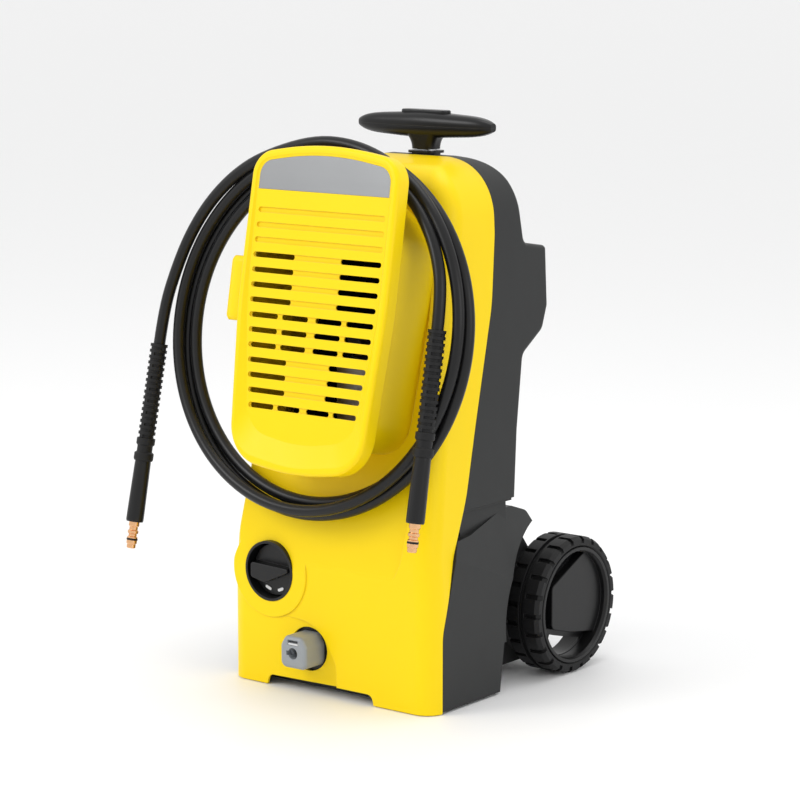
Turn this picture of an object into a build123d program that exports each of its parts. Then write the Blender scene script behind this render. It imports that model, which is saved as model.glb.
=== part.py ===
from build123d import *
import math
import os

# Upright pressure washer on two wheels. Millimetres, +Z up, front towards -Y.
# The origin is on the floor, in the middle of the machine's width and depth.

# Driving dimensions of the body
BODY_HALF_WIDTH = 150.0      # half width at the base
TOP_HALF_WIDTH = 110.0       # half width where the top corners would meet
TOP_CORNER_Z = 604.0
TOP_CROWN_Z = 622.0
TAPER_START_Z = 130.0        # below this the sides are upright
FRONT_Y = -143.0             # upright lower front face
WALL = 3.0                   # moulded shell wall
FRAME_WALL = 4.0             # wall of the lower frame
SEAM_GAP = 0.8               # shadow gap between the shells
EDGE_R = 24.0                # rounding along the front edges
REAR_EDGE_R = 6.0
SHELL_SPLIT_Z = 226.0        # where the rear shell ends and the frame begins
FLOOR_CLEARANCE = 1.0        # front shell above the floor

# Side outlines (y, z, corner radius), anticlockwise seen from +X. The front half gives the
# yellow shell and the rear half the dark one; they share the line along the top.
FRONT_SIDE = [
    (FRONT_Y, -20, 0), (60, -20, 0), (60, 618.3, 0), (-50, 606, 40), (-93, 430, 300), (FRONT_Y, 178, 120),
]
REAR_SIDE = [
    (-80, -20, 0), (22, -20, 0), (29, SHELL_SPLIT_Z, 0), (42, 302, 90), (62, 386, 16),
    (104, 411, 16), (117, 438, 14), (121, 508, 5), (78, 515, 9), (66, 619, 38), (-80, 602.6, 0),
]
# Front outline of the whole body: (x, z, corner radius)
BODY_FRONT = [
    (-BODY_HALF_WIDTH, -20, 0), (BODY_HALF_WIDTH, -20, 0), (BODY_HALF_WIDTH, TAPER_START_Z, 400),
    (TOP_HALF_WIDTH, TOP_CORNER_Z, 70), (0, TOP_CROWN_Z, 290), (-TOP_HALF_WIDTH, TOP_CORNER_Z, 70),
    (-BODY_HALF_WIDTH, TAPER_START_Z, 400),
]
# Everything in front of the seam between the yellow shell and the dark pieces
SEAM_SIDE = [
    (-300, -40, 0), (-122, -40, 0), (-122, 92, 60), (-97, 178, 60), (-67, 238, 200), (-42, 314, 400),
    (5, 450, 180), (19, 530, 120), (21, 570, 200), (30, 660, 0), (-300, 660, 0),
]

# Front cover and the neck that carries it
COVER_TILT = 10.3            # degrees, the bottom leans forward
COVER_ORIGIN = (0, -174.5, 450)
COVER_HALF_WIDTH = 107.0
COVER_TOP = 187.0            # along the face, above the cover's origin
COVER_BOTTOM = -179.0
COVER_DEPTH = 20.0
COVER_RIM = 4.0              # width of the raised rim
PANEL_DEPTH = 4.6            # panel below the rim at the cover's origin
PANEL_LEAN = 1.0             # degrees, the panel is deeper at the bottom
PANEL_THICKNESS = 3.8
NECK_INSET = 5.0
NECK_TOP = 142.0
NECK_BOTTOM = -150.0
BADGE_BOTTOM = 135.0
BADGE_THICKNESS = 1.2
SLOT_COUNT = 14
SLOT_PITCH = 17.05
SLOT_TOP = 111.5
SLOT_HEIGHT = 6.0
SLOT_GROOVE_DEPTH = 2.4

# Clip for the spray gun beside the neck
HOLDER_R = 25.0
HOLDER_Y = -127.0
HOLDER_Z = 462.0
HOLDER_HEIGHT = 78.0

# Wheels and axle
WHEEL_R = 82.0
WHEEL_Y = 124.0
WHEEL_INNER_X = 115.0
WHEEL_OUTER_X = 164.0
TYRE_THICKNESS = 12.0
TREAD_DEPTH = 4.0
TREAD_COUNT = 22
AXLE_R = 6.0
RUNNING_CLEARANCE = 0.05
ARCH_CENTRE = (118.0, 78.0)
ARCH_R = 119.0
CHASSIS_HALF_WIDTH = 106.0

# Handle
HANDLE_Y = 42.0
TUBE_HALF_WIDTH = 13.0
TUBE_HALF_DEPTH = 8.0
TUBE_BOTTOM_Z = 374.0
TUBE_TOP_Z = 632.0
GRIP_HALF_LENGTH = 97.0
BUTTON_TRAVEL = 3.0
SLIDE_CLEARANCE = 0.4

# Switch
SWITCH_X = -86.0
SWITCH_Z = 137.0
KNOB_R = 30.0
KNOB_GAP = 5.5               # from the knob to the edge of its hole
SWITCH_HOLE_R = KNOB_R + KNOB_GAP
SWITCH_RING = 19.5           # width of the raised ring around the hole
SWITCH_DISC_R = SWITCH_HOLE_R + SWITCH_RING
SWITCH_DISC_RISE = 2.2

# Outlet
OUTLET_X = -30.0
OUTLET_Z = 52.0
OUTLET_HOLE_R = 26.0
OUTLET_BORE_R = 6.75
OUTLET_REACH = 27.0          # how far the block stands out of the front
OUTLET_SETBACK = 7.5         # collar behind the front

# Motor and pump, on one upright shaft
PUMP_Y = -38.0
MOTOR_R = 55.0
MOTOR_CLEARANCE = 1.0        # around the motor in the frame's neck
MOTOR_BOTTOM_Z = 226.0
MOTOR_TOP_Z = 380.0
SHAFT_R = 8.0
PISTON_R = 8.0
PISTON_CIRCLE_R = 24.0
PISTON_TRAVEL = 8.0
SWASH_Z = 156.0              # height of the tilted face on the shaft axis
SWASH_R = 38.0
SWASH_SLOPE = PISTON_TRAVEL / 2 / PISTON_CIRCLE_R

# Hose
HOSE_R = 7.0
COIL_CENTRE = (-30.0, -119.8, 420.0)
COIL_OUTER_R = 220.0
COIL_INNER_R = 183.0
COIL_HALF_DEPTH = 18.0
COIL_SLOPE = 0.184           # metres back per metre up
RELIEF_LENGTH = 140.0
SLEEVE_LENGTH = 73.0
PLUG_LENGTH = 32.0

SPAN = 400.0                 # longer than the machine is wide


def corner_arcs(corners):
    """Edges of a closed outline whose corners carry a radius."""
    points = [Vector(u, v, 0) for u, v, r in corners]
    ends = []
    for i, (u, v, r) in enumerate(corners):
        here = points[i]
        back = (points[i - 1] - here).normalized()
        on = (points[(i + 1) % len(points)] - here).normalized()
        if r == 0:
            ends.append((here, None, here))
            continue
        half = math.radians(back.get_angle(on)) / 2
        reach = r / math.tan(half)
        middle = (back + on).normalized() * (r / math.sin(half) - r)
        ends.append((here + back * reach, here + middle, here + on * reach))
    edges = []
    for i, (start, middle, end) in enumerate(ends):
        if middle is not None:
            edges.append(ThreePointArc(start, middle, end))
        following = ends[(i + 1) % len(ends)][0]
        if (following - end).length > 0.01:
            edges.append(Line(end, following))
    return edges


def outline(corners):
    return make_face(corner_arcs(corners))


def inset(corners, amount):
    """The outline moved inwards by amount; it is anticlockwise."""
    count = len(corners)
    moved = []
    for i in range(count):
        u, v, r = corners[i]
        back = Vector(u - corners[i - 1][0], v - corners[i - 1][1]).normalized()
        after = corners[(i + 1) % count]
        on = Vector(after[0] - u, after[1] - v).normalized()
        turn = back.X * on.Y - back.Y * on.X
        scale = amount / (1 + back.X * on.X + back.Y * on.Y)
        nu = u + scale * (-back.Y - on.Y)
        nv = v + scale * (back.X + on.X)
        radius = 0 if r == 0 else max(r - amount if turn > 0 else r + amount, 0.5)
        moved.append((nu, nv, radius))
    return moved


def side_prism(corners, half_width=SPAN):
    return extrude(Plane.YZ * outline(corners), half_width, both=True)


def front_prism(corners):
    return extrude(Plane.XZ * outline(corners), SPAN, both=True)


def box(x0, x1, y0, y1, z0, z1):
    size = (x1 - x0, y1 - y0, z1 - z0)
    return Pos((x0 + x1) / 2, (y0 + y1) / 2, (z0 + z1) / 2) * Box(*size)


def rod(start, end, radius):
    """A cylinder from start to end."""
    start, end = Vector(start), Vector(end)
    return Plane(start, z_dir=end - start) * Cylinder(
        radius, (end - start).length, align=(Align.CENTER, Align.CENTER, Align.MIN)
    )


def ring(start, end, outer, inner):
    """A straight tube from start to end."""
    start, end = Vector(start), Vector(end)
    more = (end - start).normalized()
    return rod(start, end, outer) - rod(start - more, end + more, inner)


def mirror_x(shape):
    return mirror(shape, about=Plane.YZ)


def both_sides(shape):
    return shape + mirror_x(shape)




# Body shells -----------------------------------------------------------------

def runs_across(edge):
    """Whether an edge runs straight across the body."""
    size = edge.bounding_box().size
    return size.Y < 0.01 and size.Z < 0.01


def half_body(side, amount, low_y, high_y, radius):
    """One half of the body's outer shape moved inwards, its side edges rounded."""
    solid = side_prism(inset(side, amount)) & front_prism(inset(BODY_FRONT, amount))
    edges = [
        e for e in solid.edges()
        if abs(e.center().X) > 30 and not runs_across(e)
        and e.center().Z > -15 and low_y < e.center().Y < high_y
        and (e.center().Y < 0 or e.center().Z < TOP_CORNER_Z + 8)
    ]
    return fillet(edges, max(radius - amount, 1))


def front_body(amount):
    return half_body(FRONT_SIDE, amount, -SPAN, -44, EDGE_R)


def rear_body(amount):
    return half_body(REAR_SIDE, amount, 20, SPAN, REAR_EDGE_R)


def ahead_of_seam(gap):
    return side_prism(inset(SEAM_SIDE, -gap))


def cover_plane(depth=0.0):
    """The cover's face, moved back into the body by depth."""
    t = math.radians(COVER_TILT)
    normal = Vector(0, -math.cos(t), math.sin(t))
    return Plane(Vector(COVER_ORIGIN) - normal * depth, x_dir=(1, 0, 0), z_dir=normal)


def cover_outline(amount):
    """Outline of the cover in its own plane, moved inwards by amount."""
    w = COVER_HALF_WIDTH
    low, high = COVER_BOTTOM, COVER_TOP
    corners = [
        (-w * 0.89, low + 7, 48), (0, low - 6, 300), (w * 0.89, low + 7, 48), (w * 1.005, low + 185, 700),
        (w * 0.985, high - 11, 30), (0, high + 6, 400), (-w * 0.985, high - 11, 30),
        (-w * 1.005, low + 185, 700),
    ]
    return inset(corners, amount)


def neck_outline(amount):
    """Outline of the neck behind the cover; its arched top carries the hose."""
    w = COVER_HALF_WIDTH - NECK_INSET
    corners = [
        (-w * 0.9, NECK_BOTTOM, 40), (w * 0.9, NECK_BOTTOM, 40), (w, 10, 300), (w, NECK_TOP - 58, 45),
        (w * 0.45, NECK_TOP, 104), (-w * 0.45, NECK_TOP, 104), (-w, NECK_TOP - 58, 45), (-w, 10, 300),
    ]
    return inset(corners, amount)


def behind_cover(corners, near, far):
    """A prism square to the cover's face, from near to far behind it."""
    return extrude(cover_plane(near) * outline(corners), -(far - near))


def panel_plane(depth=0.0):
    """Floor of the cover's panel, deeper at the bottom than at the top."""
    t = math.radians(COVER_TILT - PANEL_LEAN)
    normal = Vector(0, -math.cos(t), math.sin(t))
    middle = cover_plane(PANEL_DEPTH).origin
    return Plane(middle - normal * depth, x_dir=(1, 0, 0), z_dir=normal)


def behind_panel(corners, near, far):
    return extrude(panel_plane(near) * outline(corners), -(far - near))


def panel_outline(side, foot):
    """Outline of the panel: side is the rim's width, foot the height of the lip below."""
    w = COVER_HALF_WIDTH
    low, high = COVER_BOTTOM, COVER_TOP
    half = [
        (w * 0.89 - foot * 0.55, low + 7 + foot, 38), (w * 1.005 - side - foot * 0.1, low + 185, 600),
        (w * 0.985 - side, high - 11 - side, 21),
    ]
    mirrored = [(-u, v, r) for u, v, r in reversed(half)]
    return [(0, low - 6 + foot, 190)] + half + [(0, high + 6 - side, 390)] + mirrored


def front_disc(amount):
    """Raised disc that surrounds the switch."""
    top = FRONT_Y - SWITCH_DISC_RISE + amount
    disc = rod((SWITCH_X, FRONT_Y + 10, SWITCH_Z), (SWITCH_X, top, SWITCH_Z), SWITCH_DISC_R - amount)
    if amount > 0:
        return disc
    return fillet(disc.edges().filter_by(lambda e: e.center().Y < FRONT_Y), 1.5)


def outlet_recess(amount):
    """Arched recess around the outlet, deep at the left and running out at the right."""
    floor = Plane((OUTLET_X, FRONT_Y, 0), x_dir=(1, 0.055, 0), z_dir=(0.055, -1, 0))
    corners = [(-57, -40, 0), (44, -40, 0), (42, 40, 30), (16, 84, 50), (-50, 88, 22)]
    sheet = outline([(u, v, r) for u, v, r in corners])
    block = extrude(floor.offset(-2.4 - amount) * sheet, 30)
    return block - box(-SPAN, SPAN, -SPAN, FRONT_Y - 12, -SPAN, SPAN)


def hose_recess(amount):
    """Shallow bay behind the hose, level with the slope of the upper front."""
    t = math.radians(COVER_TILT + 0.9)
    normal = Vector(0, -math.cos(t), math.sin(t))
    floor = Plane((0, -93 + 5.0 + amount, 430), x_dir=(1, 0, 0), z_dir=normal)
    corners = [
        (-SPAN, -310, 0), (20, -310, 0), (100, -310, 60), (112, -150, 200), (94, 160, 60), (-SPAN, 160, 0),
    ]
    return extrude(floor * outline(corners), 40, taper=-32)


def seam_boss(x, z, y0, y1, radius=6.0):
    return rod((x, y0, z), (x, y1, z), radius)


def side_x(z):
    """Half width of the body at a height."""
    share = (z - TAPER_START_Z) / (TOP_CORNER_Z - TAPER_START_Z)
    return BODY_HALF_WIDTH + (TOP_HALF_WIDTH - BODY_HALF_WIDTH) * max(share, 0)


# Screws that pull the two shells together: height, seam y and rear y there
SCREW_ROWS = [(262, -56, 36), (370, -22, 55), (470, 9, 119), (543, 20, 75)]
SCREW_R = 2.0
SCREW_HEAD_R = 4.0


def screw_places():
    for z, seam_y, rear_y in SCREW_ROWS:
        for sign in (-1, 1):
            yield sign * (side_x(z) - WALL - 4.5), z, seam_y, rear_y


def front_shell():
    outer = front_body(0) + front_disc(0) - hose_recess(0)
    inner = front_body(WALL) + front_disc(WALL) - hose_recess(WALL)
    neck = behind_cover(neck_outline(0), COVER_DEPTH, 130) & ahead_of_seam(0)
    hollow = behind_cover(neck_outline(WALL), COVER_DEPTH - 1, 130)
    shell = (outer + neck - outlet_recess(0)) - (inner - outlet_recess(WALL)) - hollow
    shell = shell & ahead_of_seam(0)
    shell = shell - box(-SPAN, SPAN, -SPAN, SPAN, -SPAN, FLOOR_CLEARANCE)
    for x, z, seam_y, rear_y in screw_places():
        post = seam_boss(x, z, seam_y - 26, seam_y - 1) & front_body(1)
        shell = shell + (post & ahead_of_seam(0))
        shell = shell - rod((x, seam_y - 20, z), (x, seam_y + 10, z), SCREW_R)
    shell = shell - rod((SWITCH_X, FRONT_Y - 20, SWITCH_Z), (SWITCH_X, FRONT_Y + 20, SWITCH_Z), SWITCH_HOLE_R)
    shell = shell - rod((OUTLET_X, FRONT_Y - 20, OUTLET_Z), (OUTLET_X, FRONT_Y + 20, OUTLET_Z), OUTLET_HOLE_R)
    foot_gap = [(-98, -20, 0), (72, -20, 0), (64, 13, 8), (-88, 13, 8)]
    return shell - extrude(Plane.XZ * outline(foot_gap), SPAN)


def cover_slots():
    """Heights and half lengths of the air slots, from the top down."""
    for i in range(SLOT_COUNT):
        share = i / (SLOT_COUNT - 1)
        half = 93.5 - 2.0 * (1 - share) ** 6 - 15.0 * share ** 2.4
        yield i + 1, SLOT_TOP - i * SLOT_PITCH, half


def slot_openings(number, half):
    """Stretches of a slot that go right through the cover."""
    if number in (4, 5, 6, 7, 11, 12, 13):
        return [(-half + 1, -half * 0.36), (half * 0.36, half - 1)]
    if number in (8, 9, 10, 14):
        edges = [-0.98, -0.55, -0.48, -0.06, 0.06, 0.48, 0.55, 0.98]
        return [(half * a, half * b) for a, b in zip(edges[::2], edges[1::2])]
    return []


def slot_tool(x0, x1, height, near, far):
    """A rounded bar square to the cover's face."""
    place = panel_plane(near) * Pos((x0 + x1) / 2, height)
    return extrude(place * SlotOverall(x1 - x0, SLOT_HEIGHT), -(far - near))


def front_cover():
    tray = behind_cover(cover_outline(0), 0, COVER_DEPTH)
    face_edges = [e for e in tray.edges() if cover_plane().to_local_coords(e).center().Z > -0.1]
    tray = fillet(face_edges, 5)
    panel = loft([
        panel_plane(0) * outline(panel_outline(COVER_RIM + 5, 34)),
        cover_plane(-0.5) * outline(panel_outline(COVER_RIM + 3, 7)),
    ], ruled=True)
    tray = tray - panel
    back = PANEL_THICKNESS
    tray = tray - behind_panel(cover_outline(WALL + 4), back, COVER_DEPTH + 10)
    tray = tray - badge_block(0, -2, BADGE_THICKNESS)
    for number, height, half in cover_slots():
        tray = tray - slot_tool(-half, half, height, -1, SLOT_GROOVE_DEPTH)
        for x0, x1 in slot_openings(number, half):
            tray = tray - slot_tool(x0, x1, height, SLOT_GROOVE_DEPTH - 1, back + 1)
    floor = behind_cover(cover_outline(WALL), COVER_DEPTH - WALL, COVER_DEPTH)
    window = behind_cover(neck_outline(WALL), COVER_DEPTH - WALL - 1, COVER_DEPTH + 1)
    return tray + (floor - window)


def badge_block(clearance, near, far):
    """The top of the cover's panel, closed by a straight edge below."""
    block = behind_panel(cover_outline(COVER_RIM + 7.5 + clearance), near, far)
    below = panel_plane(near - 5) * Pos(0, BADGE_BOTTOM - SPAN / 2 + clearance)
    return block - extrude(below * Rectangle(SPAN, SPAN), -(far - near + 10))


def badge_plate():
    return badge_block(0.2, 0, BADGE_THICKNESS)


def gun_holder():
    """Clip for the spray gun's lance, on the neck's left side."""
    wall_x = COVER_HALF_WIDTH - NECK_INSET
    ring_x = -wall_x - HOLDER_R
    place = Plane((0, HOLDER_Y, HOLDER_Z), x_dir=(1, 0, 0), z_dir=cover_plane().y_dir)
    body = Pos(ring_x, 0) * Circle(HOLDER_R) + Pos(-wall_x - 9, 0) * Rectangle(18, 30)
    body = body - Pos(ring_x, 0) * Circle(HOLDER_R - 4)
    body = body - Pos(ring_x - HOLDER_R, -HOLDER_R) * Rectangle(HOLDER_R * 1.2, HOLDER_R * 1.2)
    clip = extrude(place * body, HOLDER_HEIGHT / 2, both=True)
    barrel = Cylinder(HOLDER_R, HOLDER_HEIGHT)
    barrel = fillet(barrel.edges().filter_by(GeomType.CIRCLE), 9)
    barrel = barrel + Pos(HOLDER_R, 0, 0) * Box(30, 60, HOLDER_HEIGHT)
    clip = clip & (place * Pos(ring_x, 0, 0) * barrel)
    return clip - behind_cover(neck_outline(-0.1), 0, 200)


def rear_shell():
    shell = rear_body(0) - rear_body(WALL)
    shell = shell - ahead_of_seam(SEAM_GAP)
    shell = shell - box(-SPAN, SPAN, -SPAN, SPAN, -SPAN, SHELL_SPLIT_Z)
    for x, z, seam_y, rear_y in screw_places():
        post = seam_boss(x, z, seam_y + 1.5, rear_y) & rear_body(0)
        shell = shell + (post - ahead_of_seam(SEAM_GAP))
        shell = shell - rod((x, seam_y - 10, z), (x, rear_y + 10, z), SCREW_R + 0.3)
        shell = shell - rod((x, seam_y + 14, z), (x, rear_y + 10, z), SCREW_HEAD_R + 0.5)
    stem = (TUBE_HALF_WIDTH + 4, TUBE_HALF_DEPTH + 4)
    shell = shell - box(-stem[0], stem[0], HANDLE_Y - stem[1], HANDLE_Y + stem[1], 560, 640)
    return shell


# Lower frame -------------------------------------------------------------------

# Side cheek with its wheel arch and the chassis between the wheels: (y, z, corner radius)
CHEEK_SIDE = [
    (-150, 3, 0), (-12, 3, 0), (-4, 60, 0), (90, 60, 0), (90, 165, 0), (80, 181, 10), (64, 203, 16),
    (34, 213, 10),
    (14, 213, 60), (-60, 195.5, 30), (-150, 188, 0),
]
CHASSIS_SIDE = [
    (-150, 3, 0), (-40, 3, 0), (-20, 14, 0), (150, 14, 22), (150, 98, 24), (116, 134, 20), (58, 206, 12),
    (36, 213, 8), (14, 213, 60), (-60, 195.5, 30), (-150, 188, 0),
]
HIP_LOW = (-93.0, 172.0)     # lower edge of the sloping hip, front and rear (y, z)
HIP_REAR = (17.0, 131.0)
HIP_TOP = (34.0, 213.0)
HIP_INSET = 19.0             # how far the hip's top edge stands in
NECK_BAND_INSET = 9.0
BAND_TOP_Z = 240.0


def cheek(amount):
    """Outer shape of the two side cheeks, moved inwards by amount, with the hips cut off."""
    solid = side_prism(inset(CHEEK_SIDE, amount), BODY_HALF_WIDTH - amount)
    for sign in (-1, 1):
        low = Vector(sign * BODY_HALF_WIDTH, *HIP_LOW)
        rear = Vector(sign * BODY_HALF_WIDTH, *HIP_REAR)
        top = Vector(sign * (BODY_HALF_WIDTH - HIP_INSET), *HIP_TOP)
        normal = (rear - low).cross(top - low).normalized()
        normal = normal if normal.Z > 0 else normal * -1
        cutter = Plane(low - normal * amount, z_dir=normal) * Box(
            900, 900, 100, align=(Align.CENTER, Align.CENTER, Align.MIN)
        )
        solid = solid - cutter
    return solid


def wheel_arches(amount):
    y, z = ARCH_CENTRE
    inner = CHASSIS_HALF_WIDTH - amount
    right = rod((inner, y, z), (SPAN, y, z), ARCH_R + amount)
    return both_sides(right)


def neck_band(amount, z0, z1):
    return rear_body(amount) & box(-SPAN, SPAN, -SPAN, SPAN, z0, z1)


def base_frame():
    chassis = side_prism(CHASSIS_SIDE, CHASSIS_HALF_WIDTH)
    outer = (cheek(0) + chassis) - (wheel_arches(0) & outside_chassis())
    inner = cheek(FRAME_WALL) + side_prism(inset(CHASSIS_SIDE, FRAME_WALL), CHASSIS_HALF_WIDTH - FRAME_WALL)
    inner = inner - (wheel_arches(FRAME_WALL) & outside_chassis(FRAME_WALL))
    inside = side_x(SHELL_SPLIT_Z) - NECK_BAND_INSET - FRAME_WALL
    mouth = neck_band(NECK_BAND_INSET + FRAME_WALL, 150, 300) + box(-inside, inside, -SPAN, -60, 150, 300)
    frame = outer - inner - mouth
    band = neck_band(NECK_BAND_INSET, 186, SHELL_SPLIT_Z - 0.5)
    band = band + neck_band(WALL + 0.3, SHELL_SPLIT_Z - 3.5, BAND_TOP_Z)
    way = rod((0, PUMP_Y, 186), (0, PUMP_Y, BAND_TOP_Z + 1), MOTOR_R + MOTOR_CLEARANCE)
    frame = frame + (band - mouth - way) - ahead_of_seam(SEAM_GAP)
    boss = rod((CHASSIS_HALF_WIDTH - 30, WHEEL_Y, WHEEL_R), (WHEEL_INNER_X - 3, WHEEL_Y, WHEEL_R), 15)
    frame = frame + both_sides(boss)
    frame = frame - rod((-SPAN, WHEEL_Y, WHEEL_R), (SPAN, WHEEL_Y, WHEEL_R), AXLE_R)
    return frame


def outside_chassis(amount=0.0):
    return box(-SPAN, SPAN, -SPAN, SPAN, -SPAN, SPAN) - box(
        -CHASSIS_HALF_WIDTH + amount, CHASSIS_HALF_WIDTH - amount, -SPAN, SPAN, -SPAN, SPAN
    )


# Wheels ------------------------------------------------------------------------

def turned(points):
    """Revolve (radius, distance along the axis) points about the Z axis."""
    profile = make_face(Polyline([(r, 0, h) for r, h in points], close=True))
    return revolve(profile, Axis.Z, 360)


def on_wheel(shape):
    """Move a shape turned about Z, with its base at 0, to the right-hand wheel's place."""
    return Pos(WHEEL_INNER_X, WHEEL_Y, WHEEL_R) * Rot(0, 90, 0) * shape


WHEEL_WIDTH = WHEEL_OUTER_X - WHEEL_INNER_X
RIM_R = WHEEL_R - TYRE_THICKNESS
# Plate in the wheel and the windows around it, in the wheel's own plane: down, rear
HUB_PLATE = [
    (24, -39, 8), (35, 2, 30), (42, 45, 4), (60, 90, 0), (-60, 90, 0), (-62, 34, 4), (-27, -39, 8),
]
HUB_WINDOWS = [
    [(-80, -66, 0), (-80, 26, 0), (-64, 28, 3), (-34, -42, 3), (-27, -66, 0)],
    [(19, -80, 0), (19, -45, 3), (-16, -45, 3), (-16, -80, 0)],
    [(34, -60, 0), (31, -38, 4), (42, 2, 20), (50, 40, 3), (80, 40, 0), (80, -60, 0)],
]


def tyre():
    w = WHEEL_WIDTH
    base = WHEEL_R - TREAD_DEPTH
    body = turned([
        (RIM_R, 1.5), (RIM_R + 1.5, 0), (base - 5, 0), (base, 5), (base, w - 5), (base - 4, w - 1),
        (RIM_R + 1.5, w - 1), (RIM_R, w - 2.5),
    ])
    crown = turned([
        (base - 6, 1.5), (WHEEL_R - 3, 1.5), (WHEEL_R, 4.5), (WHEEL_R, w - 5), (WHEEL_R - 3.5, w - 0.5),
        (base - 6, w - 0.5),
    ])
    step = 360 / TREAD_COUNT
    gap = Pos(WHEEL_R, 0, 0) * Box(16, 6.0, w * 0.8)
    for i in range(TREAD_COUNT):
        crown = crown - Rot(0, 0, i * step) * Pos(0, 0, 0) * gap
        crown = crown - Rot(0, 0, (i + 0.5) * step) * Pos(0, 0, w) * gap
    low, high = 0.44 * w, 0.56 * w
    crown = crown - turned([(base - 1, low), (WHEEL_R + 1, low), (WHEEL_R + 1, high), (base - 1, high)])
    return body + crown


def wheel_hub():
    """Rim, thin arms and a smooth raised plate around the axle sleeve."""
    w = WHEEL_WIDTH
    rim = turned([
        (RIM_R - 6, 4), (RIM_R - 0.5, 1.5), (RIM_R, 1.5), (RIM_R, w - 2.5), (RIM_R - 1, w - 0.5),
        (RIM_R - 4.5, w - 0.5), (RIM_R - 6.5, w - 4), (RIM_R - 7, w - 22), (RIM_R - 6, w - 24),
    ])
    sleeve = turned([(0, 2), (13, 2), (13, w - 10), (0, w - 10)])
    web = turned([(0, w - 24), (RIM_R - 6, w - 24), (RIM_R - 6, w - 20), (0, w - 20)])
    annulus = Cylinder(RIM_R - 7.5, 200) - Cylinder(24, 200)
    for corners in HUB_WINDOWS:
        web = web - (extrude(outline(corners), 100, both=True) & annulus)
    face = extrude(Pos(0, 0, w - 21) * outline(HUB_PLATE), 12) & Cylinder(RIM_R - 5, 200)
    face = fillet(face.edges().group_by(Axis.Z)[-1], 1.2)
    hub = rim + web + sleeve + face
    return hub - Pos(0, 0, -1) * Cylinder(
        AXLE_R + RUNNING_CLEARANCE, w - 13, align=(Align.CENTER, Align.CENTER, Align.MIN)
    )


def axle():
    reach = WHEEL_INNER_X + WHEEL_WIDTH - 16
    bar = rod((-reach, WHEEL_Y, WHEEL_R), (reach, WHEEL_Y, WHEEL_R), AXLE_R)
    return chamfer(bar.edges().filter_by(GeomType.CIRCLE), 0.8)


def washers():
    x0 = WHEEL_INNER_X - 2.5
    return both_sides(
        ring((x0, WHEEL_Y, WHEEL_R), (x0 + 2, WHEEL_Y, WHEEL_R), 12, AXLE_R)
    )


# Handle ------------------------------------------------------------------------

def oval(half_width, half_depth):
    return RectangleRounded(2 * half_width, 2 * half_depth, half_depth * 0.8)


def upright(sketch, z0, z1):
    return extrude(Pos(0, HANDLE_Y, z0) * sketch, z1 - z0)


def handle_tube():
    outer = upright(oval(TUBE_HALF_WIDTH, TUBE_HALF_DEPTH), TUBE_BOTTOM_Z, TUBE_TOP_Z)
    inner = upright(oval(TUBE_HALF_WIDTH - 1.6, TUBE_HALF_DEPTH - 1.6), TUBE_BOTTOM_Z - 1, TUBE_TOP_Z + 1)
    return outer - inner


GRIP_SPLIT_Z = 648.0
GRIP_CENTRE_Z = 648.5
BUTTON_HALF_LENGTH = 34.0
BUTTON_TOP_Z = 666.0
SPRING_TOP_Z = 641.0


def grip_half(share):
    """Half sizes (y, z) of the grip at a share of its half length."""
    share = abs(share)
    end = 0.5 if share > 0.99 else 1.0
    return end * (16.5 - 6.5 * share ** 1.6), end * (15.0 - 5.6 * share ** 1.5)


def grip_body(amount):
    """The whole T grip: a tapering rounded bar with blunt ends."""
    sections = []
    for i in range(-4, 5):
        depth, half = grip_half(i / 4)
        place = Plane((i / 4 * GRIP_HALF_LENGTH, HANDLE_Y, GRIP_CENTRE_Z), x_dir=(0, 1, 0), z_dir=(1, 0, 0))
        height = 2 * (half - amount)
        sections.append(place * RectangleRounded(2 * (depth - amount), height, height * 0.4))
    return loft(sections)


def handle_grip():
    """Upper half of the grip, with the well for the button."""
    upper = grip_body(0) & box(-SPAN, SPAN, -SPAN, SPAN, GRIP_SPLIT_Z, 700)
    upper = upper - (grip_body(3.5) & box(-88, 88, -SPAN, SPAN, GRIP_SPLIT_Z - 1, 654))
    length = 2 * BUTTON_HALF_LENGTH
    mouth = SlotOverall(length + 2 * SLIDE_CLEARANCE, 16 + 2 * SLIDE_CLEARANCE)
    well = extrude(Pos(0, HANDLE_Y, 654) * mouth, 20)
    well = well + extrude(Pos(0, HANDLE_Y, GRIP_SPLIT_Z - 1) * SlotOverall(length - 10, 10), 20)
    return upper - well


def grip_base():
    """Lower half of the grip: ribs under the fingers and the flared neck on the tube."""
    lower = grip_body(0) & box(-SPAN, SPAN, -SPAN, SPAN, 600, GRIP_SPLIT_Z)
    lower = lower - (grip_body(3.5) & box(-88, 88, -SPAN, SPAN, 641, 700))
    neck = loft([
        Pos(0, HANDLE_Y, 620.5) * RectangleRounded(32, 24, 9),
        Pos(0, HANDLE_Y, 628) * RectangleRounded(34, 25, 9),
        Pos(0, HANDLE_Y, 640) * RectangleRounded(54, 28, 11),
    ])
    base = lower + neck
    for i in range(12):
        for sign in (-1, 1):
            x = sign * (31 + i * 5.0)
            low = GRIP_CENTRE_Z - grip_half(x / GRIP_HALF_LENGTH)[1]
            groove = Pos(x, HANDLE_Y, low) * Box(2.2, 60, 3.2)
            base = base - groove
    socket = upright(oval(TUBE_HALF_WIDTH, TUBE_HALF_DEPTH), 600, TUBE_TOP_Z)
    spring_well = rod((0, HANDLE_Y, TUBE_TOP_Z - 1), (0, HANDLE_Y, 642), 6)
    return base - socket - spring_well


def handle_button():
    foot = 654 + BUTTON_TRAVEL
    cap = extrude(Pos(0, HANDLE_Y, foot) * SlotOverall(2 * BUTTON_HALF_LENGTH, 16), BUTTON_TOP_Z - foot)
    cap = fillet(cap.edges().group_by(Axis.Z)[-1], 1.8)
    stem = rod((0, HANDLE_Y, SPRING_TOP_Z), (0, HANDLE_Y, 654 + BUTTON_TRAVEL), 4.5)
    return cap + stem


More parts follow.
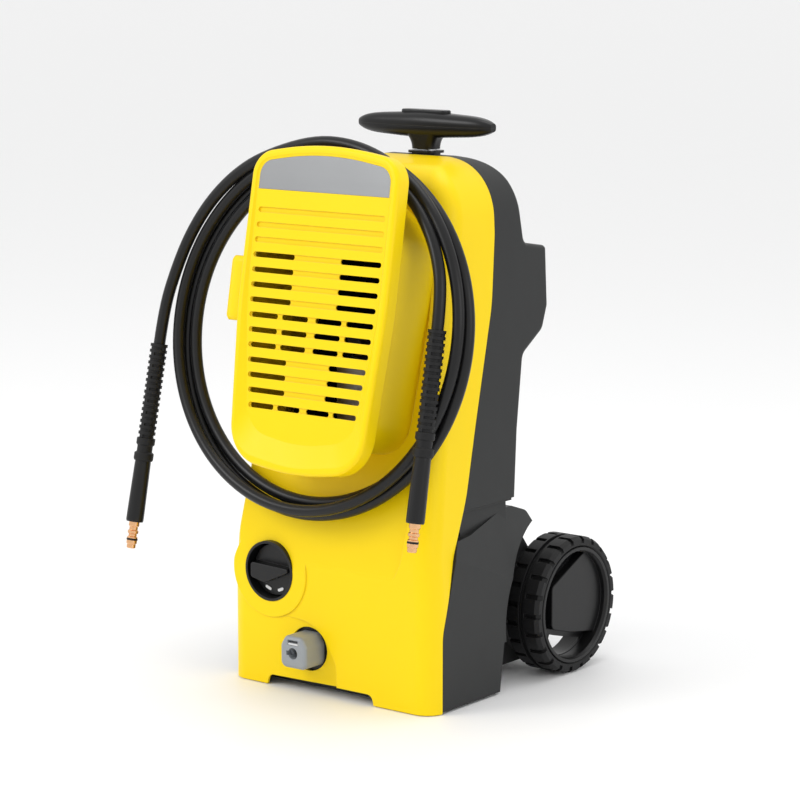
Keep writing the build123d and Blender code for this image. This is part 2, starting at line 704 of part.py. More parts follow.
def button_spring():
    return ring((0, HANDLE_Y, TUBE_TOP_Z), (0, HANDLE_Y, SPRING_TOP_Z), 5.5, 3.6)


def handle_guide():
    """Collar in the top of the rear shell that the tube slides through, and its long sleeve."""
    x, y = TUBE_HALF_WIDTH + SLIDE_CLEARANCE, TUBE_HALF_DEPTH + SLIDE_CLEARANCE
    sleeve = upright(RectangleRounded(2 * x + 5, 2 * y + 5, 6), TUBE_BOTTOM_Z + 16, 618)
    flange = upright(RectangleRounded(2 * x + 12, 2 * y + 12, 8), 616.0, 618.8)
    bore = upright(RectangleRounded(2 * x, 2 * y, y * 0.8), 300, 640)
    return (sleeve + flange) - bore


# Switch ------------------------------------------------------------------------

def switch_bezel():
    """Black cup around the knob, set in the front shell."""
    face = FRONT_Y - SWITCH_DISC_RISE
    at = (SWITCH_X, face - 0.8, SWITCH_Z)
    cup = rod(at, (SWITCH_X, face + 22, SWITCH_Z), SWITCH_HOLE_R)
    cup = cup - rod((SWITCH_X, face - 5, SWITCH_Z), (SWITCH_X, face + 19, SWITCH_Z), SWITCH_HOLE_R - 3)
    return cup - rod(at, (SWITCH_X, face + 40, SWITCH_Z), 7 + RUNNING_CLEARANCE)


def switch_knob():
    """Dished disc with a wedge-shaped grip across it, and its spindle."""
    face = FRONT_Y - SWITCH_DISC_RISE
    disc = rod((SWITCH_X, face + 10, SWITCH_Z), (SWITCH_X, face + 16, SWITCH_Z), KNOB_R)
    tip = KNOB_R - 1
    wedge = [(-tip + 2, -10, 4), (-6, -14.5, 4), (tip, 1.5, 1.9), (tip, 6, 1.9), (-tip + 2, 8, 4)]
    place = Plane((SWITCH_X, face + 12, SWITCH_Z), x_dir=(1, 0, 0), z_dir=(0, -1, 0))
    grip = extrude(place * outline(wedge), 14)
    grip = fillet(grip.edges().group_by(Axis.Y)[0], 1.2)
    spindle = rod((SWITCH_X, face + 16, SWITCH_Z), (SWITCH_X, face + 30, SWITCH_Z), 7)
    return disc + grip + spindle


def switch_body():
    y0 = FRONT_Y - SWITCH_DISC_RISE + 22
    block = box(SWITCH_X - 22, SWITCH_X + 22, y0, y0 + 34, SWITCH_Z - 20, SWITCH_Z + 20)
    block = fillet(block.edges().filter_by(Axis.Y), 3)
    tabs = box(SWITCH_X - 16, SWITCH_X - 10, y0 + 34, y0 + 42, SWITCH_Z - 6, SWITCH_Z - 5)
    tabs = tabs + box(SWITCH_X + 10, SWITCH_X + 16, y0 + 34, y0 + 42, SWITCH_Z - 6, SWITCH_Z - 5)
    hole = rod((SWITCH_X, y0 - 5, SWITCH_Z), (SWITCH_X, y0 + 10, SWITCH_Z), 7.5)
    return block + tabs - hole


# Outlet ------------------------------------------------------------------------

def outlet_collar():
    """Black ring behind the front wall, around the outlet block."""
    y0 = FRONT_Y + OUTLET_SETBACK
    return ring((OUTLET_X, y0, OUTLET_Z), (OUTLET_X, y0 + 8, OUTLET_Z), OUTLET_HOLE_R + 3, 15)


def outlet_block():
    front = FRONT_Y - OUTLET_REACH
    shape = [(-19, -18, 8), (19, -18, 8), (19, 9, 10), (12, 20, 7), (-12, 20, 7), (-19, 9, 10)]
    place = Plane((OUTLET_X, FRONT_Y + 28, OUTLET_Z), x_dir=(1, 0, 0), z_dir=(0, -1, 0))
    block = extrude(place * outline(shape), FRONT_Y + 28 - front)
    block = fillet(block.edges().group_by(Axis.Y)[0], 4.5)
    head = rod((OUTLET_X, front - 1, OUTLET_Z), (OUTLET_X, FRONT_Y + OUTLET_SETBACK, OUTLET_Z), 40)
    block = block & (head + rod((OUTLET_X, FRONT_Y, OUTLET_Z), (OUTLET_X, FRONT_Y + 40, OUTLET_Z), 15))
    bore = rod((OUTLET_X, front - 1, OUTLET_Z), (OUTLET_X, front + 40, OUTLET_Z), OUTLET_BORE_R)
    key = box(OUTLET_X - 9.5, OUTLET_X - 4, front - 1, front + 9, OUTLET_Z - 2.6, OUTLET_Z + 2.6)
    slot = box(OUTLET_X - 7.5, OUTLET_X + 7.5, front - 1, front + 14, OUTLET_Z + 9.5, OUTLET_Z + 15.5)
    way = rod((OUTLET_X, front, OUTLET_Z), (OUTLET_X, FRONT_Y + 40, OUTLET_Z), 5)
    return block - bore - way - key - slot


def outlet_latch():
    """Sprung clip in the slot above the bore; it lifts to let the hose plug go."""
    front = FRONT_Y - OUTLET_REACH
    return box(OUTLET_X - 7, OUTLET_X + 7, front + 0.6, front + 12, OUTLET_Z + 9.8, OUTLET_Z + 12.0)


def outlet_pipe():
    y0 = FRONT_Y + 28
    return ring((OUTLET_X, y0, OUTLET_Z), (OUTLET_X, PUMP_FRONT, OUTLET_Z), 10, 5)


# Pump and motor ----------------------------------------------------------------

PUMP_FRONT = PUMP_Y - 44
PUMP_REAR = PUMP_Y + 44
HEAD_BOTTOM_Z = 30.0
HEAD_TOP_Z = 74.0
BLOCK_TOP_Z = 118.0
PISTON_TOP_Z = SWASH_Z - SWASH_SLOPE * SWASH_R - 0.4


def piston_places():
    for i in range(3):
        angle = math.radians(90 + 120 * i)
        yield i + 1, PISTON_CIRCLE_R * math.cos(angle), PUMP_Y + PISTON_CIRCLE_R * math.sin(angle)


def pump_head():
    head = box(-50, 50, PUMP_FRONT, PUMP_REAR, HEAD_BOTTOM_Z, HEAD_TOP_Z)
    head = fillet(head.edges().filter_by(Axis.Z), 12)
    head = head - rod((OUTLET_X, PUMP_FRONT - 1, OUTLET_Z), (OUTLET_X, PUMP_Y, OUTLET_Z), 5)
    head = head - rod((INLET_X, PUMP_REAR + 1, OUTLET_Z), (INLET_X, PUMP_Y, OUTLET_Z), 6)
    for number, x, y in piston_places():
        head = head - rod((x, y, HEAD_TOP_Z - 6), (x, y, HEAD_TOP_Z + 1), PISTON_R)
    for x, y in bolt_places():
        head = head - rod((x, y, HEAD_BOTTOM_Z - 1), (x, y, HEAD_TOP_Z + 1), 3)
    return head


def bolt_places():
    for sx in (-1, 1):
        for sy in (-1, 1):
            yield sx * 39.0, PUMP_Y + sy * 33.0


def cylinder_block():
    block = box(-50, 50, PUMP_FRONT, PUMP_REAR, HEAD_TOP_Z, HEAD_TOP_Z + 12)
    block = fillet(block.edges().filter_by(Axis.Z), 12)
    block = block + rod((0, PUMP_Y, HEAD_TOP_Z + 12), (0, PUMP_Y, BLOCK_TOP_Z), 37)
    for number, x, y in piston_places():
        block = block - rod((x, y, HEAD_TOP_Z - 1), (x, y, BLOCK_TOP_Z + 1), PISTON_R + RUNNING_CLEARANCE)
    for x, y in bolt_places():
        block = block - rod((x, y, HEAD_TOP_Z - 1), (x, y, HEAD_TOP_Z + 13), 3)
    return block


def pump_bolts():
    bolts = Part()
    for x, y in bolt_places():
        shank = rod((x, y, HEAD_BOTTOM_Z), (x, y, HEAD_TOP_Z + 20), 3)
        cap = rod((x, y, HEAD_BOTTOM_Z - 6), (x, y, HEAD_BOTTOM_Z), 5)
        bolts = bolts + (shank + cap)
    return bolts


def piston(x, y):
    stem = rod((x, y, HEAD_TOP_Z + 8), (x, y, PISTON_TOP_Z - 3), PISTON_R)
    foot = rod((x, y, PISTON_TOP_Z - 3), (x, y, PISTON_TOP_Z), PISTON_R + 3)
    return stem + foot


def piston_spring(x, y):
    return ring((x, y, BLOCK_TOP_Z), (x, y, PISTON_TOP_Z - 3.2), PISTON_R + 2.8, PISTON_R + 0.8)


def swash_housing():
    """Round housing between the pump and the motor."""
    z0, z1 = HEAD_TOP_Z + 12, MOTOR_BOTTOM_Z
    body = ring((0, PUMP_Y, z0), (0, PUMP_Y, z1 - 8), 46, 41)
    lid = ring((0, PUMP_Y, z1 - 8), (0, PUMP_Y, z1), MOTOR_R, 16)
    seat = ring((0, PUMP_Y, 196), (0, PUMP_Y, z1 - 8), 30, 21)
    foot = ring((0, PUMP_Y, z0), (0, PUMP_Y, z0 + 8), 49, 41)
    housing = body + lid + foot
    for x, y in bolt_places():
        post = rod((x, y, z0), (x, y, z0 + 14), 7)
        housing = housing + (post - rod((0, PUMP_Y, z0 - 1), (0, PUMP_Y, z0 + 20), 41))
        housing = housing - rod((x, y, z0 - 1), (x, y, z0 + 10), 3)
    return housing + seat


def swash_plate():
    disc = rod((0, PUMP_Y, 140), (0, PUMP_Y, 172), SWASH_R)
    slope = math.atan(SWASH_SLOPE)
    below = Plane((0, PUMP_Y, SWASH_Z), x_dir=(1, 0, 0), z_dir=(0, -math.sin(slope), math.cos(slope)))
    cutter = below * Box(200, 200, 80, align=(Align.CENTER, Align.CENTER, Align.MAX))
    hub = rod((0, PUMP_Y, 172), (0, PUMP_Y, 184), 14)
    return (disc - cutter) + hub - rod((0, PUMP_Y, SWASH_Z + 6), (0, PUMP_Y, 190), SHAFT_R)


def motor_shaft():
    return rod((0, PUMP_Y, SWASH_Z + 6), (0, PUMP_Y, FAN_TOP_Z), SHAFT_R)


FAN_BOTTOM_Z = 394.0
FAN_TOP_Z = 410.0


def rotor_core():
    core = rod((0, PUMP_Y, MOTOR_BOTTOM_Z + 30), (0, PUMP_Y, MOTOR_TOP_Z - 34), 27)
    return core - rod((0, PUMP_Y, MOTOR_BOTTOM_Z), (0, PUMP_Y, MOTOR_TOP_Z), SHAFT_R)


def motor_stator():
    core = ring((0, PUMP_Y, MOTOR_BOTTOM_Z + 34), (0, PUMP_Y, MOTOR_TOP_Z - 38), 48, 27.5)
    windings = ring((0, PUMP_Y, MOTOR_BOTTOM_Z + 20), (0, PUMP_Y, MOTOR_TOP_Z - 24), 44, 30)
    return core + windings


def motor_housing():
    """Water-jacketed can with closed ends, open for the shaft."""
    can = ring((0, PUMP_Y, MOTOR_BOTTOM_Z), (0, PUMP_Y, MOTOR_TOP_Z), MOTOR_R, 48)
    floor = ring((0, PUMP_Y, MOTOR_BOTTOM_Z), (0, PUMP_Y, MOTOR_BOTTOM_Z + 6), 50, 16)
    lid = ring((0, PUMP_Y, MOTOR_TOP_Z - 6), (0, PUMP_Y, MOTOR_TOP_Z), 50, 16)
    return can + floor + lid


def shaft_bearings():
    places = [(198, 210, 21), (MOTOR_BOTTOM_Z, MOTOR_BOTTOM_Z + 8, 16), (MOTOR_TOP_Z - 8, MOTOR_TOP_Z, 16)]
    bearings = Part()
    for z0, z1, r in places:
        bearings = bearings + ring((0, PUMP_Y, z0), (0, PUMP_Y, z1), r, SHAFT_R + RUNNING_CLEARANCE)
    return bearings


def cooling_fan():
    hub = ring((0, PUMP_Y, FAN_BOTTOM_Z), (0, PUMP_Y, FAN_TOP_Z), 15, SHAFT_R)
    blades = Part()
    for i in range(8):
        blade = Pos(27, 0, 0) * Rot(35, 0, 0) * Box(30, 1.8, 16)
        blades = blades + Rot(0, 0, i * 45) * blade
    return hub + Pos(0, PUMP_Y, (FAN_BOTTOM_Z + FAN_TOP_Z) / 2) * blades - rod(
        (0, PUMP_Y, FAN_BOTTOM_Z - 9), (0, PUMP_Y, FAN_TOP_Z + 9), SHAFT_R
    )


def capacitor():
    can = rod((84, -60, 250), (84, -60, 330), 17)
    return fillet(can.edges().filter_by(GeomType.CIRCLE), 2)


# Water inlet and mains lead entry ------------------------------------------------

INLET_X = 30.0
INLET_Z = 160.0
INLET_R = 13.2               # three-quarter inch coupling thread
INLET_REACH = 32.0
INLET_THREAD = 20.0
INLET_SEAT_R = 16.0
GLAND_X = -46.0
GLAND_R = 9.0


def rear_slope_y(z):
    """Sloping rear face of the chassis at a height."""
    (y0, z0), (y1, z1) = [corner[:2] for corner in CHASSIS_SIDE[5:7]]
    return y0 + (y1 - y0) * (z - z0) / (z1 - z0)


def slope_point(x, back):
    """A point level with the inlet, set back from the slope along the y axis."""
    return (x, rear_slope_y(INLET_Z) + back, INLET_Z)


def water_inlet():
    """Threaded spout for the garden hose coupling, with its flange inside the frame."""
    spout = ring(slope_point(INLET_X, -26), slope_point(INLET_X, INLET_REACH), INLET_R, 8)
    seat = ring(slope_point(INLET_X, -26), slope_point(INLET_X, INLET_REACH - INLET_THREAD), INLET_SEAT_R, 8)
    return spout + seat


def inlet_filter():
    """Strainer cup inside the spout."""
    cup = ring(slope_point(INLET_X, -14), slope_point(INLET_X, 6), 7.9, 6.9)
    base = rod(slope_point(INLET_X, -15), slope_point(INLET_X, -14), 7.9)
    return cup + base


def inlet_pipe():
    """Pipe from the spout down to the pump head."""
    start = Vector(slope_point(INLET_X, -26))
    knee = Vector(INLET_X, 46, INLET_Z)
    low = Vector(INLET_X, 46, OUTLET_Z)
    path = FilletPolyline(start, knee, low, (INLET_X, PUMP_REAR, OUTLET_Z), radius=15)
    face = Plane(start, z_dir=(0, -1, 0))
    return sweep(face * Circle(9), path=path) - sweep(face * Circle(6.5), path=path)


def cable_gland():
    """Entry for the mains lead, which itself is left off."""
    body = ring(slope_point(GLAND_X, -20), slope_point(GLAND_X, 9), GLAND_R, 4)
    nut = ring(slope_point(GLAND_X, 9), slope_point(GLAND_X, 21), GLAND_R - 1.5, 4)
    return body + nut


# Fasteners and feet ----------------------------------------------------------------

def shell_screws():
    screws = Part()
    for x, z, seam_y, rear_y in screw_places():
        shank = rod((x, seam_y - 17, z), (x, seam_y + 14, z), SCREW_R)
        head = rod((x, seam_y + 14, z), (x, seam_y + 17, z), SCREW_HEAD_R)
        screws = screws + (shank + head)
    return screws


def foot_pads():
    pad = rod((-125, -104, 0), (-125, -104, 3), 14)
    pad = fillet(pad.edges().group_by(Axis.Z)[0], 0.8)
    return both_sides(pad)


# Hose ------------------------------------------------------------------------------

# Routes of the two free stretches, from the top of each fitting into the coil
RIGHT_TAIL = [
    (157, -143, 441), (157, -136, 478), (145, -126, 518), (121, -116, 554), (91, -107, 583), (52, -100, 606),
]
LEFT_TAIL = [
    (-257, -142, 388), (-255.8, -133.7, 430), (-246, -124.5, 473), (-231, -115.5, 516), (-207, -107, 556),
    (-174, -100, 589), (-134, -95, 613),
]


def bend_radii(points):
    """The largest arcs that the runs of a route allow."""
    radii = []
    for before, here, after in zip(points, points[1:], points[2:]):
        one, two = Vector(here) - Vector(before), Vector(after) - Vector(here)
        turn = math.radians(one.get_angle(two))
        radii.append(0.45 * min(one.length, two.length) / math.tan(turn / 2))
    return radii


def hose_tail(name, points):
    radii = bend_radii(points)
    path = FilletPolyline(*points, radius=radii)
    start, on = Vector(points[0]), Vector(points[1])
    tube = sweep(Plane(start, z_dir=on - start) * Circle(HOSE_R), path=path)
    expected = math.pi * HOSE_R ** 2 * path.length
    print(name, "radii", [round(r) for r in radii], "length", round(path.length),
          "volume over section times length", round(tube.volume / expected, 4))
    return tube


def hose_coil():
    normal = Vector(0, -1, COIL_SLOPE).normalized()
    place = Plane(COIL_CENTRE, x_dir=(1, 0, 0), z_dir=normal)
    flat = place * (Circle(COIL_OUTER_R) - Circle(COIL_INNER_R))
    coil = extrude(flat, COIL_HALF_DEPTH, both=True)
    return fillet(coil.edges(), 9)


def fitting_place(tail, along):
    """Plane square to a hose fitting, at a distance below the top of the fitting."""
    top, on = Vector(tail[0]), Vector(tail[1])
    down = (top - on).normalized()
    return Plane(top + down * along, x_dir=(1, 0, 0), z_dir=down)


def lathe(place, points):
    """Revolve (radius, distance) points about a plane's axis."""
    return place * turned(points)


def strain_relief(tail):
    """Rubber bend guard made of discs joined by alternate ribs."""
    pitch, width, count = 7.0, 3.6, 16
    collar = count * pitch
    shape = turned([
        (0, 0), (8.4, 0), (8.4, collar), (11, collar + 1), (11, collar + 8), (9.2, collar + 10),
        (9.2, collar + 17), (11.6, collar + 19), (11.6, RELIEF_LENGTH - 2), (10.6, RELIEF_LENGTH),
        (0, RELIEF_LENGTH),
    ])
    for i in range(count):
        disc = Pos(0, 0, i * pitch) * Cylinder(10.2, width, align=(Align.CENTER, Align.CENTER, Align.MIN))
        rib = Pos(0, 0, i * pitch + width) * Box(
            19.6, 4.5, pitch - width, align=(Align.CENTER, Align.CENTER, Align.MIN)
        )
        shape = shape + disc + Rot(0, 0, 90 * (i % 2)) * rib
    return fitting_place(tail, 0) * shape


def plug_sleeve(tail):
    end = SLEEVE_LENGTH
    return lathe(fitting_place(tail, RELIEF_LENGTH), [
        (0, 0), (9.4, 0), (9.6, 3), (10.4, end - 12), (10.4, end - 2), (9.8, end), (0, end),
    ])


PLUG_GROOVE = 20.0
PLUG_GROOVE_R = 4.8


def brass_plug(tail):
    end, groove = PLUG_LENGTH, PLUG_GROOVE
    return lathe(fitting_place(tail, RELIEF_LENGTH + SLEEVE_LENGTH), [
        (0, 0), (6.4, 0), (6.4, 5), (5.2, 6.5), (5.2, 10), (6.5, 11), (6.5, 14), (5.0, 15), (5.0, 17.5),
        (6.4, 18.5), (6.4, groove), (PLUG_GROOVE_R, groove),
        (PLUG_GROOVE_R, groove + 2.4), (6.4, groove + 2.4),
        (6.4, 26), (5.4, 27), (5.4, end - 1), (4.6, end), (0, end),
    ])


def plug_seals():
    seals = Part()
    for tail in (LEFT_TAIL, RIGHT_TAIL):
        place = fitting_place(tail, RELIEF_LENGTH + SLEEVE_LENGTH + PLUG_GROOVE + 0.2)
        seals = seals + (place * (turned([(4.8, 0), (6.6, 0), (6.6, 2.0), (4.8, 2.0)])))
    return seals


def build():
    nodes = {
        "front_shell": front_shell(), "front_cover": front_cover(), "badge_plate": badge_plate(),
        "rear_shell": rear_shell(), "base_frame": base_frame() - frame_openings(), "gun_holder": gun_holder(),
        "foot_pads": foot_pads(), "shell_screws": shell_screws(), "axle": axle(), "axle_washers": washers(),
        "handle_guide": handle_guide(), "switch_bezel": switch_bezel(), "switch_body": switch_body(),
        "outlet_collar": outlet_collar(), "outlet_block": outlet_block(), "outlet_pipe": outlet_pipe(),
        "water_inlet": water_inlet(), "inlet_filter": inlet_filter(), "inlet_pipe": inlet_pipe(),
        "cable_gland": cable_gland(), "pump_head": pump_head(), "cylinder_block": cylinder_block(),
        "pump_bolts": pump_bolts(), "swash_housing": swash_housing(), "motor_housing": motor_housing(),
        "motor_stator": motor_stator(), "shaft_bearings": shaft_bearings(), "capacitor": capacitor(),
        "hose_coil": hose_coil(), "hose_tail_left": hose_tail("left tail", LEFT_TAIL),
        "hose_tail_right": hose_tail("right tail", RIGHT_TAIL), "plug_seals": plug_seals(),
        "handle_tube": handle_tube(), "handle_grip": handle_grip(), "grip_base": grip_base(),
        "handle_button": handle_button(), "button_spring": button_spring(),
        "switch_knob": switch_knob(), "outlet_latch": outlet_latch(),
        "rotor_core": rotor_core(), "motor_shaft": motor_shaft(), "swash_plate": swash_plate(),
        "cooling_fan": cooling_fan(),
    }
    for side, tail in (("left", LEFT_TAIL), ("right", RIGHT_TAIL)):
        nodes["strain_relief_" + side] = strain_relief(tail)
        nodes["plug_sleeve_" + side] = plug_sleeve(tail)
        nodes["brass_plug_" + side] = brass_plug(tail)
    hub, rubber = on_wheel(wheel_hub()), on_wheel(tyre())
    nodes["wheel_hub_right"], nodes["tyre_right"] = hub, rubber
    nodes["wheel_hub_left"], nodes["tyre_left"] = mirror_x(hub), mirror_x(rubber)
    for number, x, y in piston_places():
        nodes["piston_%d" % number] = piston(x, y)
        nodes["piston_spring_%d" % number] = piston_spring(x, y)
    return nodes


def frame_openings():
    """Holes in the chassis slope for the water inlet and the mains lead."""
    inlet = rod(slope_point(INLET_X, -60), slope_point(INLET_X, 40), INLET_SEAT_R)
    gland = rod(slope_point(GLAND_X, -60), slope_point(GLAND_X, 40), GLAND_R)
    return inlet + gland


os.makedirs("parts", exist_ok=True)
for name, shape in build().items():
    export_step(shape, "parts/" + name + ".step")
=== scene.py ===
import math

import bmesh
import bpy
from bpy.props import FloatProperty, FloatVectorProperty, IntProperty, PointerProperty
from bpy.types import Operator, Panel, PropertyGroup
from mathutils import Matrix, Vector


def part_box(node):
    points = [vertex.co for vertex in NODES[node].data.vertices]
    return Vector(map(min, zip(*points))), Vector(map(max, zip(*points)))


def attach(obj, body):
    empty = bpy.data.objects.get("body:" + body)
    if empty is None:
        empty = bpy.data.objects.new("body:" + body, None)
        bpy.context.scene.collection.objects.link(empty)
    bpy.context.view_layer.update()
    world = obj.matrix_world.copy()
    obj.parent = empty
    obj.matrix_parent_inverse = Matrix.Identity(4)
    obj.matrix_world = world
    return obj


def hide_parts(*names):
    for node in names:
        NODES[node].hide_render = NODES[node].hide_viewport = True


bl_info = {
    "name": "Pressure Washer",
    "version": (1, 0, 0),
    "blender": (4, 5, 0),
    "location": "3D View > Sidebar > Pressure Washer",
    "description": "Builds the looks of an upright pressure washer around its CAD frame",
    "category": "Object",
}

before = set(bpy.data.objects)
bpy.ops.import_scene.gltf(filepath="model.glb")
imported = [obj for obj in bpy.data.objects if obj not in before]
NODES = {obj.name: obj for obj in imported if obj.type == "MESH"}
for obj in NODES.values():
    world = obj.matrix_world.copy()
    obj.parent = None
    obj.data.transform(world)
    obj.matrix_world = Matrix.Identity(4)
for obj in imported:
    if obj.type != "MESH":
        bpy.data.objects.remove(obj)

# Places in metres, in the frame's own axes: +Z up, front towards -Y
HOSE_RADIUS = 0.007
COIL_CENTRE = Vector((-0.030, -0.1198, 0.420))
COIL_SLOPE = 0.184
COIL_RADIUS = 0.2015
BUNDLE_RADIUS = 0.0104
BUNDLE_START = math.radians(189)
COIL_START = math.radians(66.5)
COIL_STEPS = 24              # points in each turn
RIGHT_TAIL = [
    (0.157, -0.143, 0.441), (0.157, -0.136, 0.478), (0.145, -0.126, 0.518), (0.121, -0.116, 0.554),
    (0.091, -0.107, 0.583), (0.052, -0.100, 0.606),
]
LEFT_TAIL = [
    (-0.257, -0.142, 0.388), (-0.2558, -0.1337, 0.430), (-0.246, -0.1245, 0.473),
    (-0.231, -0.1155, 0.516), (-0.207, -0.107, 0.556), (-0.174, -0.100, 0.589), (-0.134, -0.095, 0.613),
]
KNOB_GRIP_HEIGHT = 0.012     # the knob's grip in front of its disc
MARK_RADIUS = 0.0245
MARK_LENGTH, MARK_WIDTH, MARK_HEIGHT = 0.0095, 0.0036, 0.0004
MARK_ANGLES = (-112, -68)    # from the right, seen from the front

STREAK_DEPTH = 0.12          # how far the badge's streaks change its roughness
FLOOR_REACH = 60
FLOOR_COLOUR = (0.92, 0.92, 0.92, 1)
FLOOR_ROUGHNESS = 0.55
# Soft lamps: name, place, what they face, diameter, share of the key light's power
LAMPS = (
    ("key", (-1.6, -2.6, 2.2), (0, 0, 0.35), 1.6, 1.0),
    ("side", (2.6, -0.4, 1.3), (0, 0, 0.35), 1.4, 0.25),
    ("top", (0.2, 0.3, 2.6), (0, 0, 0.3), 1.5, 0.35),
)


# Node tools ---------------------------------------------------------------------
def add_node(tree, kind, **values):
    """A node with its properties and plain inputs set by name."""
    node = tree.nodes.new(kind)
    for name, value in values.items():
        if hasattr(node, name):
            setattr(node, name, value)
        else:
            node.inputs[name.replace("_", " ")].default_value = value
    return node


def new_group(name, inputs, outputs):
    """Empty shader group with float, vector or colour sockets."""
    kinds = {"f": "NodeSocketFloat", "v": "NodeSocketVector", "c": "NodeSocketColor"}
    tree = bpy.data.node_groups.new(name, "ShaderNodeTree")
    for label, kind, default in inputs:
        socket = tree.interface.new_socket(name=label, in_out="INPUT", socket_type=kinds[kind])
        if default is not None:
            socket.default_value = default
    for label, kind in outputs:
        tree.interface.new_socket(name=label, in_out="OUTPUT", socket_type=kinds[kind])
    return tree, tree.nodes.new("NodeGroupInput"), tree.nodes.new("NodeGroupOutput")


def math_node(tree, operation, first, second=None, clamp=False):
    node = tree.nodes.new("ShaderNodeMath")
    node.operation = operation
    node.use_clamp = clamp
    for index, value in enumerate((first, second)):
        if value is None:
            continue
        if isinstance(value, bpy.types.NodeSocket):
            tree.links.new(value, node.inputs[index])
        else:
            node.inputs[index].default_value = value
    return node.outputs[0]


def scaled(tree, vector, scale):
    node = tree.nodes.new("ShaderNodeVectorMath")
    node.operation = "MULTIPLY"
    tree.links.new(vector, node.inputs[0])
    node.inputs[1].default_value = scale
    return node.outputs[0]


def grain_group():
    """Spark-eroded grain of moulded plastic: fine bumps with a coarser drift."""
    tree, start, end = new_group(
        "Moulded grain", [("Vector", "v", None), ("Cells", "f", 1500.0)], [("Height", "f")]
    )
    fine = add_node(tree, "ShaderNodeTexVoronoi", feature="SMOOTH_F1")
    fine.inputs["Smoothness"].default_value = 0.6
    tree.links.new(start.outputs["Vector"], fine.inputs["Vector"])
    tree.links.new(start.outputs["Cells"], fine.inputs["Scale"])
    drift = add_node(tree, "ShaderNodeTexNoise", Scale=420.0, Detail=2.0, Roughness=0.5)
    tree.links.new(start.outputs["Vector"], drift.inputs["Vector"])
    half = math_node(tree, "MULTIPLY", drift.outputs[0], 0.6)
    height = math_node(tree, "ADD", fine.outputs["Distance"], half)
    tree.links.new(height, end.inputs["Height"])
    return tree


def edge_group():
    """Softened normal, and a mask that is 1 along the edges."""
    tree, start, end = new_group(
        "Soft edge", [("Radius", "f", 0.0008)], [("Normal", "v"), ("Edge", "f")]
    )
    bevel = add_node(tree, "ShaderNodeBevel", samples=4)
    tree.links.new(start.outputs["Radius"], bevel.inputs["Radius"])
    shape = tree.nodes.new("ShaderNodeNewGeometry")
    dot = tree.nodes.new("ShaderNodeVectorMath")
    dot.operation = "DOT_PRODUCT"
    tree.links.new(bevel.outputs[0], dot.inputs[0])
    tree.links.new(shape.outputs["Normal"], dot.inputs[1])
    turned = math_node(tree, "SUBTRACT", 1.0, dot.outputs["Value"], clamp=True)
    edge = math_node(tree, "MULTIPLY", turned, 9.0, clamp=True)
    tree.links.new(bevel.outputs[0], end.inputs["Normal"])
    tree.links.new(edge, end.inputs["Edge"])
    return tree


def wear_group():
    """Base colour and roughness with cloudy handling marks, pale rubbed edges and dust on upward faces."""
    tree, start, end = new_group(
        "Handling",
        [
            ("Vector", "v", None), ("Edge", "f", 0.0), ("Colour", "c", (0.5, 0.5, 0.5, 1)),
            ("Rubbed", "c", (0.7, 0.7, 0.7, 1)), ("Rubbing", "f", 0.3), ("Clouds", "f", 0.05),
            ("Roughness", "f", 0.4), ("Smears", "f", 0.08), ("Dust", "f", 0.1),
        ],
        [("Colour", "c"), ("Roughness", "f")],
    )
    clouds = add_node(tree, "ShaderNodeTexNoise", Scale=9.0, Detail=5.0, Roughness=0.6)
    tree.links.new(start.outputs["Vector"], clouds.inputs["Vector"])
    smears = add_node(tree, "ShaderNodeTexNoise", Scale=1.0, Detail=4.0, Roughness=0.65)
    tree.links.new(scaled(tree, start.outputs["Vector"], (35, 35, 14)), smears.inputs["Vector"])
    centred = math_node(tree, "SUBTRACT", clouds.outputs[0], 0.5)
    shade = math_node(tree, "MULTIPLY", centred, start.outputs["Clouds"])
    shade = math_node(tree, "ADD", math_node(tree, "MULTIPLY", shade, 2.0), 1.0)
    shaded = add_node(tree, "ShaderNodeVectorMath", operation="SCALE")
    tree.links.new(start.outputs["Colour"], shaded.inputs[0])
    tree.links.new(shade, shaded.inputs["Scale"])
    above = math_node(tree, "SUBTRACT", smears.outputs[0], 0.35, clamp=True)
    broken = math_node(tree, "MULTIPLY", above, 4.0, clamp=True)
    worn = math_node(tree, "MULTIPLY", start.outputs["Edge"], broken)
    rub = math_node(tree, "MULTIPLY", worn, start.outputs["Rubbing"])
    rubbed = add_node(tree, "ShaderNodeMix", data_type="RGBA")
    tree.links.new(rub, rubbed.inputs[0])
    tree.links.new(shaded.outputs[0], rubbed.inputs[6])
    tree.links.new(start.outputs["Rubbed"], rubbed.inputs[7])
    shape = tree.nodes.new("ShaderNodeNewGeometry")
    split = tree.nodes.new("ShaderNodeSeparateXYZ")
    tree.links.new(shape.outputs["Normal"], split.inputs[0])
    upward = math_node(tree, "MULTIPLY", split.outputs[2], 1.0, clamp=True)
    lying = math_node(tree, "MULTIPLY", upward, clouds.outputs[0])
    settled = math_node(tree, "MULTIPLY", lying, start.outputs["Dust"])
    dusty = add_node(tree, "ShaderNodeMix", data_type="RGBA")
    dusty.inputs[7].default_value = (0.42, 0.40, 0.36, 1)
    tree.links.new(settled, dusty.inputs[0])
    tree.links.new(rubbed.outputs[2], dusty.inputs[6])
    tree.links.new(dusty.outputs[2], end.inputs["Colour"])
    uneven = math_node(tree, "SUBTRACT", smears.outputs[0], 0.5)
    smear = math_node(tree, "MULTIPLY", uneven, start.outputs["Smears"])
    handled = math_node(tree, "ADD", start.outputs["Roughness"], smear)
    rough = math_node(tree, "ADD", handled, settled, clamp=True)
    tree.links.new(rough, end.inputs["Roughness"])
    return tree


